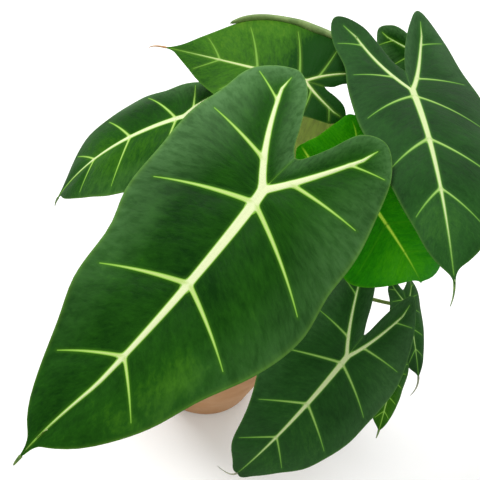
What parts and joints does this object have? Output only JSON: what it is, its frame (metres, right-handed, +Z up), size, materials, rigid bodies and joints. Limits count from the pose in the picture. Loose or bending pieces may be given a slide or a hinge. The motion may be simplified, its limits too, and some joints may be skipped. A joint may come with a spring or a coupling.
{
  "type": "potted alocasia plant",
  "caption": "Potted house plant with large arrow-shaped velvety green leaves and pale ribs on arching stalks, in a plain terracotta pot.",
  "frame": {"origin": "centre of the pot's underside, on the ground", "axes": "+Z up along the pot's axis; the largest leaf hangs towards -Y and -X, the side the plant is seen from is -Y"},
  "size_m": [0.3507, 0.3746, 0.3879],
  "materials": {
    "terracotta": "matt unglazed terracotta",
    "soil": null,
    "leaf": null,
    "young_leaf": null,
    "stalk": null,
    "sheath": null
  },
  "bodies": {
    "root": {"pot": "terracotta", "soil": "soil", "blade_front": "leaf", "stalk_front": "stalk", "blade_left": "leaf", "stalk_left": "stalk", "blade_back_left": "leaf", "stalk_back_left": "stalk", "blade_right": "leaf", "stalk_right": "stalk", "blade_young": "young_leaf", "stalk_young": "stalk", "blade_low": "leaf", "stalk_low": "stalk", "blade_low_right": "leaf", "stalk_low_right": "stalk", "blade_small": "leaf", "stalk_small": "stalk", "blade_back_right": "leaf", "stalk_back_right": "stalk", "blade_far_right": "leaf", "stalk_far_right": "stalk", "sheath": "sheath"}
  },
  "joints": []
}
